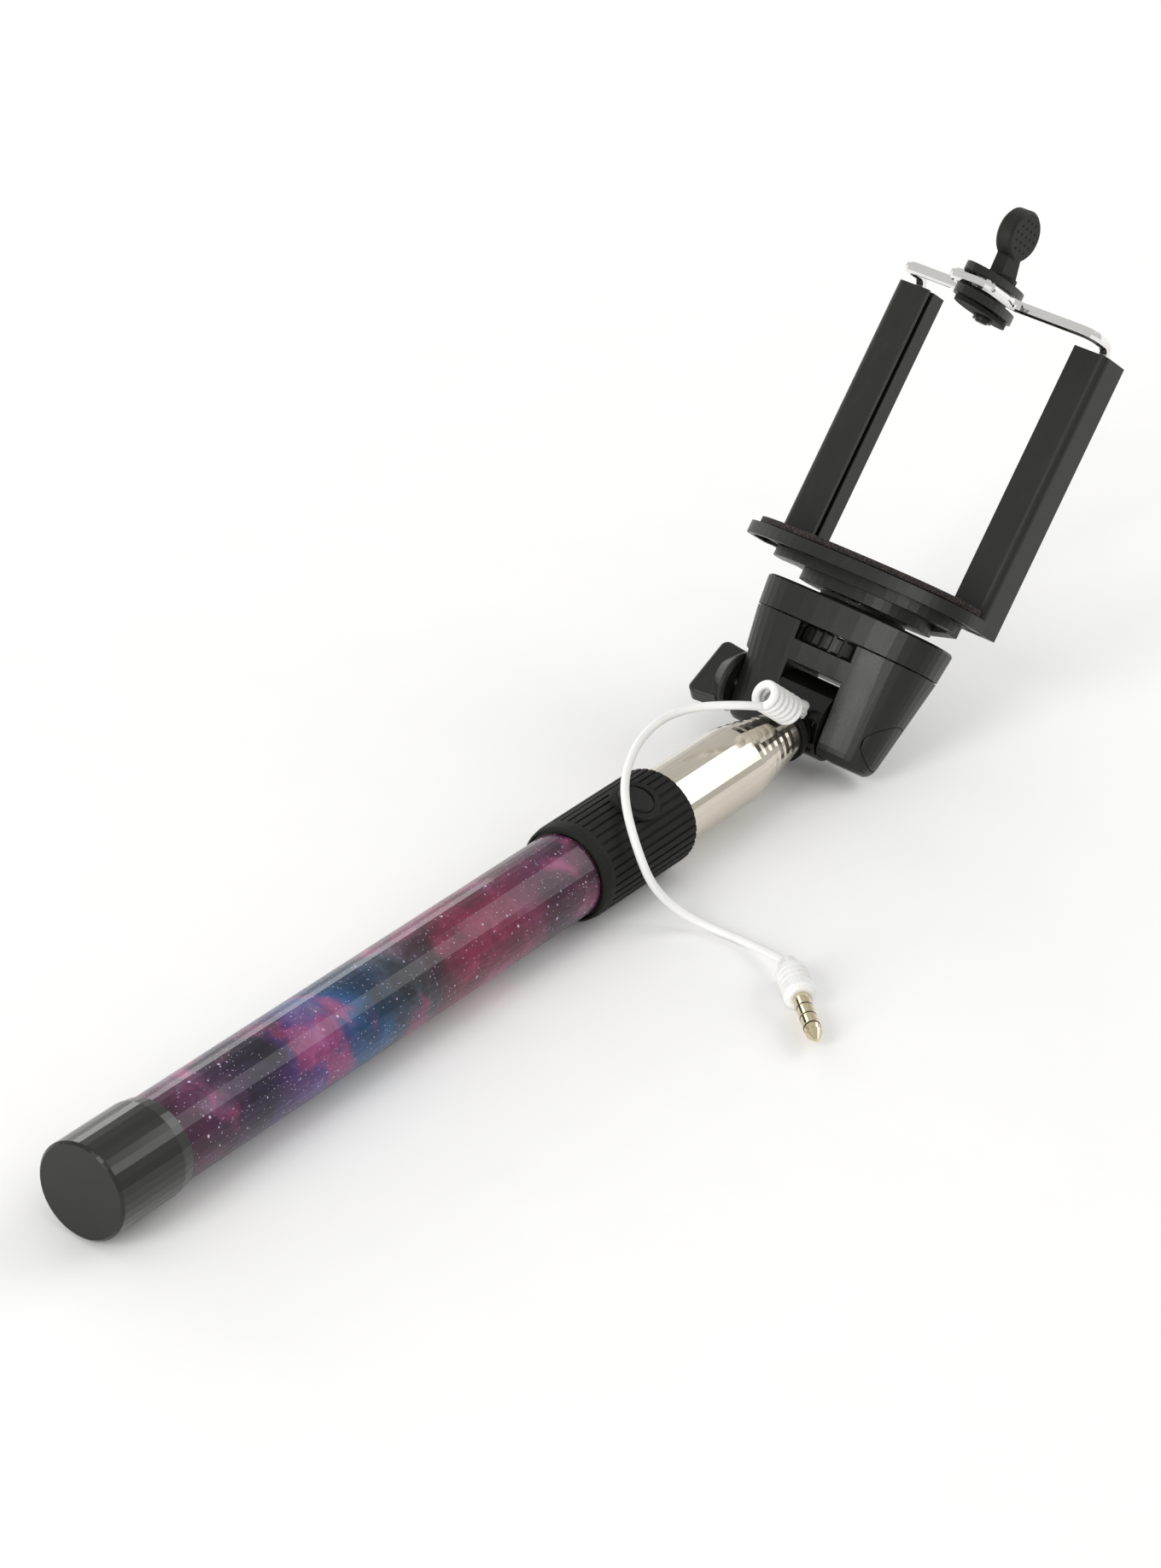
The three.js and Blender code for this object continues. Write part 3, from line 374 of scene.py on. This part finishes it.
class PrintColours(bpy.types.PropertyGroup):
    plum: tint("Plum", "Plum haze", (0.085, 0.014, 0.055))
    night: tint("Night", "Darkest violet sky", (0.022, 0.008, 0.036))
    violet: tint("Violet", "Violet clouds", (0.075, 0.028, 0.16))
    blue: tint("Blue", "Blue-teal clouds", (0.010, 0.075, 0.20))
    ash: tint("Ash", "Grey-blue dust", (0.060, 0.075, 0.10))
    rose: tint("Rose", "Rose clouds", (0.30, 0.05, 0.15))
    crimson: tint("Crimson", "Crimson clouds", (0.21, 0.016, 0.055))
    cloud: tint("Cloud", "Brightest cloud tops", (0.24, 0.17, 0.25))
    star: tint("Star", "Stars", (0.9, 0.86, 0.97))


class FinishColours(bpy.types.PropertyGroup):
    black: tint("Black plastic", "Satin black mouldings", (0.0095, 0.010, 0.008))
    gloss: tint("Gloss black", "Polished end cap", (0.008, 0.008, 0.007))
    rubber: tint("Rubber", "Rubber collar and pads", (0.007, 0.007, 0.0062))
    steel: tint("Steel", "Steel sections", (0.74, 0.685, 0.585))
    chrome: tint("Chrome", "Plated wire", (0.88, 0.87, 0.85))
    grain: strength("Grain", "Strength of the mouldings' grain", 1.0, "FACTOR")


class SpringSizes(bpy.types.PropertyGroup):
    wire: size("Wire", "Diameter of the spring's wire", 0.00055)
    pitch: size("Pitch", "Rise of one turn", 0.0018)


class StudioSettings(bpy.types.PropertyGroup):
    floor: tint("Floor", "Floor's colour", (0.96, 0.96, 0.955))
    key: strength("Key", "Strength of the large side light", 9.0, "POWER")
    tall: strength("Tall", "Strength of the tall light beside the viewer", 26.0, "POWER")
    rim: strength("Rim", "Strength of the light behind the stick", 7.0, "POWER")
    sky: strength("Sky", "Strength of the light from all round", 0.66, "FACTOR")
    lens: FloatProperty(name="Lens", description="Camera's focal length", default=117.65, unit="CAMERA")


# ---------------------------------------------------------------- the studio

CAMERA_FROM_CAP = Vector((-580.58, -452.20, 541.47)) * MM
CAMERA_RIGHT = Vector((0.580, -0.8069, 0.1115))
CAMERA_BACK = Vector((-0.7265, -0.4505, 0.5189))
FLOOR_HALF = 4.0  # half the floor's side
AIM = (0, 0, 0.04)  # where the lights point


def area_light(name, place, target, sides, power):
    lamp = bpy.data.lights.new(name, "AREA")
    lamp.shape = "RECTANGLE"
    lamp.size, lamp.size_y = sides
    lamp.energy = power
    light = bpy.data.objects.new(name, lamp)
    bpy.context.scene.collection.objects.link(light)
    light.location = place
    light.rotation_euler = (Vector(target) - Vector(place)).to_track_quat("-Z", "Y").to_euler()


class STICK_OT_studio(bpy.types.Operator):
    """Sets the camera, the pale floor and the soft studio lights"""

    bl_idname = "stick.studio"
    bl_label = "Studio"

    def execute(self, context):
        studio = context.scene.stick_studio
        camera = bpy.data.objects.new("camera", bpy.data.cameras.new("camera"))
        context.scene.collection.objects.link(camera)
        back = CAMERA_BACK.normalized()
        right = (CAMERA_RIGHT - back * CAMERA_RIGHT.dot(back)).normalized()
        turn = Matrix((right, back.cross(right), back)).transposed().to_4x4()
        camera.matrix_world = Matrix.Translation(CAP_END + CAMERA_FROM_CAP) @ turn
        camera.data.lens = studio.lens
        camera.data.sensor_width = 36
        camera.data.sensor_fit = "AUTO"
        camera.data.clip_start = 0.01
        context.scene.camera = camera

        far = FLOOR_HALF
        corners = [(-far, -far, 0), (far, -far, 0), (far, far, 0), (-far, far, 0)]
        mesh = bpy.data.meshes.new("floor")
        mesh.from_pydata(corners, [], [(0, 1, 2, 3)])
        floor = bpy.data.objects.new("floor", mesh)
        context.scene.collection.objects.link(floor)
        sheet = Finish("floor_paper", roughness=0.9)
        fibre = sheet.noise(sheet.place(), 60, 3)
        sheet.set("Base Color", sheet.shade(studio.floor, 0.985, 1.015, fibre))
        sheet.set("Specular IOR Level", 0.1)
        sheet.give("floor")

        area_light("key_right", (1.45, -0.55, 1.05), AIM, (1.3, 0.9), studio.key)
        area_light("tall_left", (-1.85, 0.1, 0.66), AIM, (0.6, 1.5), studio.tall)
        area_light("rim_back", (0.55, 1.5, 0.5), AIM, (1.6, 0.5), studio.rim)
        context.scene.view_settings.view_transform = "Standard"

        world = context.scene.world or bpy.data.worlds.new("studio")
        context.scene.world = world
        world.use_nodes = True
        background = world.node_tree.nodes["Background"]
        background.inputs["Color"].default_value = (1.0, 0.995, 0.985, 1)
        background.inputs["Strength"].default_value = studio.sky
        return {"FINISHED"}


# ---------------------------------------------------------------- the lead

# Millimetres along the stick from the cap's end, left of its axis and above the table.
COIL_BASE = (220.4, -4.05, 19.3)
COIL_AXIS = Vector((-0.774, 0.202, 0.6)).normalized()
LEAD_EXIT = Vector((-0.678, -0.369, -0.636)).normalized()
LEAD_ROUTE = (
    (205.8, -1.4, 25.8), (202.0, 3.7, 25.1), (198.4, 7.2, 24.4), (193.3, 9.1, 23.9),
    (187.4, 9.2, 23.4), (180.6, 7.7, 23.2), (174.2, 5.0, 23.1), (168.3, 2.0, 23.0), (162.6, -2.0, 22.8),
    (158.4, -6.0, 21.6), (156.0, -9.6, 19.0), (155.8, -12.2, 15.0), (157.6, -13.6, 10.4),
    (160.4, -15.2, 6.2),
    (163.0, -18.6, 2.8), (165.0, -23.6, 1.2), (165.9, -29.6, 1.0), (165.6, -35.6, 1.4), (164.0, -41.2, 2.6),
)
PLUG_RINGS = ("plug_ring_1", "plug_ring_2", "plug_ring_3")
PLUG_START = (162.3, -44.6, 3.4)
PLUG_HEADING = Vector((-0.694, -0.72, 0))
LEAD_GAP = 0.3  # between the lead's ends and what they meet
LINK_RISE = 1.6  # how far the lead goes straight out of its gland
LINK_DROP = 1.9  # how far below the coil it turns to meet it
COIL_STEPS = 16  # points on each turn
GLAND_STATION = 227.48
GLAND_TURN = math.radians(25)
GLAND_TOP = 6.1


def lead_points(sizes):
    """The lead's whole centreline: out of the gland, round the coil and on to the plug."""
    outward = Vector((0, -math.sin(GLAND_TURN), math.cos(GLAND_TURN)))
    leaves = Vector((GLAND_STATION, 0, CAP_END.z / MM)) + outward * (GLAND_TOP + LEAD_GAP)
    base = Vector(COIL_BASE)
    loop = (sizes.coil_diameter - sizes.diameter) / 2 / MM
    first = Vector((0.7, 0, 0.72))
    first = (first - COIL_AXIS * first.dot(COIL_AXIS)).normalized()
    second = COIL_AXIS.cross(first)
    exit_phase = math.atan2(LEAD_EXIT.dot(second), LEAD_EXIT.dot(first)) % math.tau
    end_phase = exit_phase - math.tau * (sizes.turns + 1)
    rise_from = sizes.diameter / 2 / MM
    rise_to = sizes.coil_length / MM - rise_from
    before = base + first * loop - COIL_AXIS * LINK_DROP - outward * 0.2
    points = [leaves, leaves + outward * (LINK_RISE / 2), leaves + outward * LINK_RISE, before]
    steps = COIL_STEPS * (sizes.turns + 1)
    for i in range(steps + 1):
        phase = end_phase * i / steps
        rise = rise_from + (rise_to - rise_from) * i / steps
        around = first * math.cos(phase) + second * math.sin(phase)
        points.append(base + COIL_AXIS * rise + around * loop)
    points += [Vector(place) for place in LEAD_ROUTE]
    points.append(Vector(PLUG_START) - PLUG_HEADING * LEAD_GAP)
    return [from_cap(*point) for point in points]


class STICK_OT_lead(bpy.types.Operator):
    """Winds the white lead from its gland, through its coil, to the plug"""

    bl_idname = "stick.lead"
    bl_label = "Lead"

    def execute(self, context):
        sizes = context.scene.stick_lead
        points = lead_points(sizes)
        curve = bpy.data.curves.new("lead", "CURVE")
        curve.dimensions = "3D"
        spline = curve.splines.new("NURBS")
        spline.points.add(len(points) - 1)
        # The knots carry the lead's radius on a bevel of one, so that the curve's own box fits it.
        for knot, point in zip(spline.points, points):
            knot.co = (*point, 1.0)
            knot.radius = sizes.diameter / 2
        spline.order_u = 3
        spline.use_endpoint_u = True
        spline.resolution_u = 4
        curve.bevel_depth = 1.0
        curve.bevel_resolution = 4
        curve.use_fill_caps = True
        lead = bpy.data.objects.new("lead", curve)
        context.scene.collection.objects.link(lead)
        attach(lead, "section_7")
        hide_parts("cord_link", "cord_coil", "cord_lead")
        jacket = white_jacket("white_jacket", sizes.colour)
        jacket.give("lead", "cord_bush")
        grip = white_jacket("plug_moulding", scaled(sizes.colour, 0.97), 0.35)
        grip.give("plug_grip")
        contacts = turned_metal("plug_contacts", (0.78, 0.68, 0.46), 0.18, (900, 900, 60))
        contacts.give("plug_contacts")
        rubber("plug_insulation", (0.01, 0.01, 0.01), 0.4, 0.0).give(*PLUG_RINGS)
        return {"FINISHED"}


# ---------------------------------------------------------------- handle


SWIRL = 0.02  # metres that the clouds are drawn aside
STAR_LAYERS = (  # cells to a metre, a star's radius in its cell, share of cells with a star
    (1500, 0.2, 0.4),
    (900, 0.16, 0.55),
    (420, 0.12, 0.6),
    (230, 0.10, 0.7),
)


def nebula_print(colours):
    """Glossy printed film: bands of cloud along the handle, with dust lanes and small stars."""
    coat = {"coat_weight": 0.55, "coat_roughness": 0.05, "coat_ior": 1.38}
    film = Finish("nebula_print", specular_ior_level=0.15, **coat)
    where = film.place()
    wander = {"Vector": where, "Scale": 45, "Detail": 3}
    drift = film.node("ShaderNodeTexNoise", None, wander, output="Color")
    centred = film.vector("SUBTRACT", drift, (0.5, 0.5, 0.5))
    swirled = film.vector("ADD", where, film.stretched(centred, (SWIRL, SWIRL, SWIRL)))
    clouds = film.noise(swirled, 62, 6, 0.6)
    lanes = film.noise(film.vector("ADD", swirled, (0.07, 0.4, 0.2)), 95, 6, 0.65)
    low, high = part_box("handle_sleeve")
    along = (film.axis(swirled, "X") - low.x) / (high.x - low.x)
    veil = film.noise(film.vector("ADD", swirled, (0.31, 0.12, 0.05)), 38, 3, 0.5)
    hue = film.ramp(
        along + (veil - 0.5) * 0.16,
        [
            (0.0, colours.rose),
            (0.13, colours.plum),
            (0.25, colours.night),
            (0.36, colours.violet),
            (0.48, colours.blue),
            (0.60, colours.ash),
            (0.72, colours.crimson),
            (0.92, colours.plum),
        ],
    )
    patches = film.noise(film.vector("ADD", swirled, (0.6, 0.2, 0.9)), 75, 3, 0.5)
    hue = film.mix(patches.step(0.54, 0.66) * 0.75, hue, colours.rose)
    sky = film.shade(hue, 0.15, 1.25, clouds.step(0.32, 0.7))
    glow = film.mix(clouds.step(0.58, 0.78) * 0.55, sky, colours.cloud)
    dusty = film.mix(lanes.step(0.47, 0.66) * 0.6, glow, film.shade(hue, 0.2, 0.5, clouds))

    stars = 0
    for scale, size, share in STAR_LAYERS:
        moved = film.vector("ADD", where, (0.013 * scale, 0.007 * scale, 0.0))
        near = film.cells(moved, scale).step(size, size * 0.25)
        chosen = film.axis(film.cells(moved, scale, output="Color"), "X").step(1 - share, 1 - share + 0.05)
        stars = near * chosen + stars
    tinted = film.mix(film.noise(where, 400, 1), colours.star, (0.55, 0.35, 0.75))
    starry = film.mix(stars.math("MINIMUM", stars, 1.0) * 0.8, dusty, tinted)
    film.set("Base Color", starry)
    film.set("Roughness", 0.3 + lanes * 0.15)
    ripple = film.noise(film.stretched(where, (160, 500, 500)), 1.0, 3)
    film.relief(ripple, 0.00001)
    return film


class STICK_OT_handle(bpy.types.Operator):
    """Gives the handle its printed film, glossy cap and stowed lead"""

    bl_idname = "stick.handle"
    bl_label = "Handle"

    def execute(self, context):
        colours = context.scene.stick_finishes
        nebula_print(context.scene.stick_print).give("handle_sleeve")
        cap = Finish("gloss_black", specular_ior_level=0.3, coat_weight=0.3, coat_roughness=0.08)
        where = cap.place()
        waves = cap.noise(where, 130, 3)
        scratches = cap.noise(cap.stretched(where, (300, 2600, 2600)), 1.0, 3, 0.7).step(0.68, 0.74)
        cap.set("Base Color", cap.shade(colours.gloss, 0.8, 1.3, waves))
        cap.set("Roughness", 0.2 + waves * 0.12 + scratches * 0.1)
        cap.relief(waves * 0.6 + scratches * 0.1, 0.00002, 0.0003)
        cap.give("end_cap")
        rubber("inner_jacket", colours.rubber, 0.5, 0.1).give("inner_lead_coil")
        return {"FINISHED"}


class STICK_OT_collar(bpy.types.Operator):
    """Gives the collar, its carrier, the button and the switch their finishes"""

    bl_idname = "stick.collar"
    bl_label = "Collar"

    def execute(self, context):
        colours = context.scene.stick_finishes
        rubber("collar_rubber", colours.rubber, 0.7, 0.2).give("collar_grip")
        rubber("button_rubber", scaled(colours.rubber, 0.8), 0.55, 0.1).give("shutter_button")
        moulded_black("carrier_plastic", colours.black, 0.5, 0.6).give("collar_carrier")
        board = Finish("switch_board", roughness=0.5)
        where = board.place()
        tracks = board.cells(where, 900, "DISTANCE_TO_EDGE").step(0.06, 0.1)
        board.set("Base Color", board.mix(tracks, (0.35, 0.2, 0.06), (0.01, 0.09, 0.04)))
        board.set("Roughness", 0.35 + board.noise(where, 900) * 0.3)
        board.relief(tracks, 0.00002)
        board.give("switch_board")
        turned_metal("snap_dome", (0.6, 0.6, 0.58), 0.25, (900, 900, 900)).give("snap_dome")
        return {"FINISHED"}


class STICK_OT_sections(bpy.types.Operator):
    """Gives the seven telescopic sections their polished steel"""

    bl_idname = "stick.sections"
    bl_label = "Steel sections"

    def execute(self, context):
        tint = context.scene.stick_finishes.steel
        drawn_steel("drawn_steel", tint).give(*[f"tube_{k}" for k in range(1, 8)])
        return {"FINISHED"}


# ---------------------------------------------------------------- stem and head


def in_head(skin):
    return skin.turned(PIVOT, HEAD_LEAN)


def in_clamp(skin):
    return skin.turned(PIVOT, HEAD_LEAN, -CLAMP_TURN)


class STICK_OT_head(bpy.types.Operator):
    """Gives the stem, tilting head, cover, screws and pads their finishes"""

    bl_idname = "stick.head"
    bl_label = "Head"

    def execute(self, context):
        colours = context.scene.stick_finishes
        shell = moulded_black("head_plastic", colours.black, 0.36, colours.grain, in_head)
        shell.give("head_shell", "head_cap", "pivot_cover")
        moulded_black("stem_plastic", scaled(colours.black, 0.4), 0.16, 0.3).give("stem_knuckle")
        rubber("stem_rubber", colours.rubber, 0.5).give("stem_washer", "top_pad")
        turned_metal("head_hardware", (0.5, 0.5, 0.48), 0.3, (400, 400, 2600)).give(
            "head_screw_left", "head_screw_right", "thrust_washer", "pivot_nut", "pivot_bolt"
        )
        return {"FINISHED"}


class STICK_OT_controls(bpy.types.Operator):
    """Gives the wing knob, the thumbwheel and its screw their finishes"""

    bl_idname = "stick.controls"
    bl_label = "Knob and wheel"

    def execute(self, context):
        colours = context.scene.stick_finishes
        knob = moulded_black("knob_plastic", scaled(colours.black, 1.6), 0.3, 0.4, in_head, 0.0004)
        knob.give("wing_knob")
        moulded_black("wheel_plastic", colours.black, 0.35, 0.6, in_head, 0.0001).give("thumbwheel")
        turned_metal("screw_steel", (0.55, 0.54, 0.5), 0.28, (300, 300, 1600)).give("tripod_screw")
        return {"FINISHED"}


# ---------------------------------------------------------------- clamp


class STICK_OT_clamp(bpy.types.Operator):
    """Gives the clamp's base, rails, pad and insert their finishes"""

    bl_idname = "stick.clamp"
    bl_label = "Clamp"

    def execute(self, context):
        colours = context.scene.stick_finishes
        moulded_black("base_plastic", colours.black, 0.36, colours.grain, in_clamp).give("clamp_base")
        moulded_black("rail_plastic", colours.black, 0.4, colours.grain, in_clamp, 0.00025).give(
            "rail_left", "rail_right", "bush_left", "bush_right"
        )
        pad = Finish("foam_pad", roughness=0.85)
        where = pad.place()
        crumbs = pad.cells(where, 2200)
        tone = pad.noise(where, 300, 4)
        brown = pad.mix(crumbs.step(0.45, 0.15) * 0.7, (0.016, 0.013, 0.011), (0.11, 0.075, 0.055))
        pad.set("Base Color", pad.shade(brown, 0.6, 1.4, tone))
        pad.set("Roughness", 0.75 + crumbs * 0.2)
        pad.relief(crumbs, 0.00008, 0.0002)
        pad.give("base_pad")
        turned_metal("insert_brass", (0.62, 0.44, 0.18), 0.28, (300, 300, 1600)).give("threaded_insert")
        return {"FINISHED"}


def coil_mesh(name, start, axis, length, radius, wire, pitch):
    """A closed-ended helical spring as a swept tube."""
    axis = axis.normalized()
    first = axis.orthogonal().normalized()
    second = axis.cross(first)
    turns = max(3, round((length - 2 * wire) / pitch))
    around, sides = 14, 6  # sections to a turn, and corners to a section
    steps = turns * around
    vertices, faces = [], []
    for i in range(steps + 1):
        phase = math.tau * i / around
        outward = first * math.cos(phase) + second * math.sin(phase)
        centre = start + axis * (wire / 2 + (length - wire) * i / steps) + outward * radius
        for j in range(sides):
            angle = math.tau * j / sides
            vertices.append(centre + (outward * math.cos(angle) + axis * math.sin(angle)) * wire / 2)
    for i in range(steps):
        for j in range(sides):
            k = (j + 1) % sides
            faces.append((i * sides + j, i * sides + k, (i + 1) * sides + k, (i + 1) * sides + j))
    faces.append(tuple(range(sides)))
    faces.append(tuple(reversed(range(steps * sides, (steps + 1) * sides))))
    mesh = bpy.data.meshes.new(name)
    mesh.from_pydata(vertices, [], faces)
    mesh.flip_normals()
    mesh.shade_smooth()
    thing = bpy.data.objects.new(name, mesh)
    bpy.context.scene.collection.objects.link(thing)
    return thing


class STICK_OT_springs(bpy.types.Operator):
    """Winds the two return springs of the jaw's slide, at their rest length"""

    bl_idname = "stick.springs"
    bl_label = "Springs"

    def execute(self, context):
        sizes = context.scene.stick_springs
        up = HEAD_UP.normalized()
        metal = turned_metal("spring_wire", (0.5, 0.5, 0.48), 0.25, (800, 800, 800))
        for side in ("left", "right"):
            node = NODES[f"spring_{side}"]
            places = [vertex.co for vertex in node.data.vertices]
            heights = [place.dot(up) for place in places]
            middle = sum(places, Vector()) / len(places)
            low, high = min(heights), max(heights)
            start = middle + up * (low - middle.dot(up))
            reach = max((place - middle - up * (place - middle).dot(up)).length for place in places)
            radius = reach - sizes.wire / 2
            name = f"return_spring_{side}"
            spring = coil_mesh(name, start, up, high - low, radius, sizes.wire, sizes.pitch)
            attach(spring, "clamp")
            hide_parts(f"spring_{side}")
            metal.give(name)
            tuple(start + up * (high - low))
            (high - low - JAW_TRAVEL) / (high - low)
            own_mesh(spring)
        return {"FINISHED"}


class STICK_OT_jaw(bpy.types.Operator):
    """Gives the sliding wire, jaw, thumb tab and small hardware their finishes"""

    bl_idname = "stick.jaw"
    bl_label = "Jaw and tab"

    def execute(self, context):
        colours = context.scene.stick_finishes
        bright_plate("bright_wire", colours.chrome).give("wire_frame")
        turned_metal("foot_steel", (0.5, 0.5, 0.48), 0.3, (400, 400, 2600)).give("foot_left", "foot_right")
        plates = moulded_black("jaw_plastic", colours.black, 0.38, colours.grain, in_clamp)
        plates.give("jaw_upper", "jaw_lower", "post_clip")
        rubber("jaw_rubber", colours.rubber, 0.7).give("jaw_pad")
        rubber("tab_rubber", scaled(colours.rubber, 1.6), 0.5, 0.1).give("tab_grip")
        return {"FINISHED"}


# ---------------------------------------------------------------- panel and registration

STEPS = (
    STICK_OT_studio,
    STICK_OT_lead,
    STICK_OT_handle,
    STICK_OT_collar,
    STICK_OT_sections,
    STICK_OT_head,
    STICK_OT_controls,
    STICK_OT_clamp,
    STICK_OT_springs,
    STICK_OT_jaw,
)

SETTINGS = {
    "stick_lead": LeadSizes,
    "stick_print": PrintColours,
    "stick_finishes": FinishColours,
    "stick_springs": SpringSizes,
    "stick_studio": StudioSettings,
}


class STICK_PT_panel(bpy.types.Panel):
    """Lists the steps and their sizes and colours"""

    bl_label = "Selfie Stick"
    bl_idname = "STICK_PT_panel"
    bl_space_type = "VIEW_3D"
    bl_region_type = "UI"
    bl_category = "Selfie Stick"

    def draw(self, context):
        for step in STEPS:
            self.layout.operator(step.bl_idname)
        for name, group in SETTINGS.items():
            box = self.layout.box()
            for setting in group.__annotations__:
                box.prop(getattr(context.scene, name), setting)


def register():
    for group in (*SETTINGS.values(), *STEPS, STICK_PT_panel):
        bpy.utils.register_class(group)
    for name, group in SETTINGS.items():
        setattr(bpy.types.Scene, name, PointerProperty(type=group))


def unregister():
    for name in SETTINGS:
        delattr(bpy.types.Scene, name)
    for group in reversed((*SETTINGS.values(), *STEPS, STICK_PT_panel)):
        bpy.utils.unregister_class(group)


def main():
    register()
    for step in STEPS:
        group, name = step.bl_idname.split(".")
        getattr(getattr(bpy.ops, group), name)()


if __name__ == "__main__":
    main()
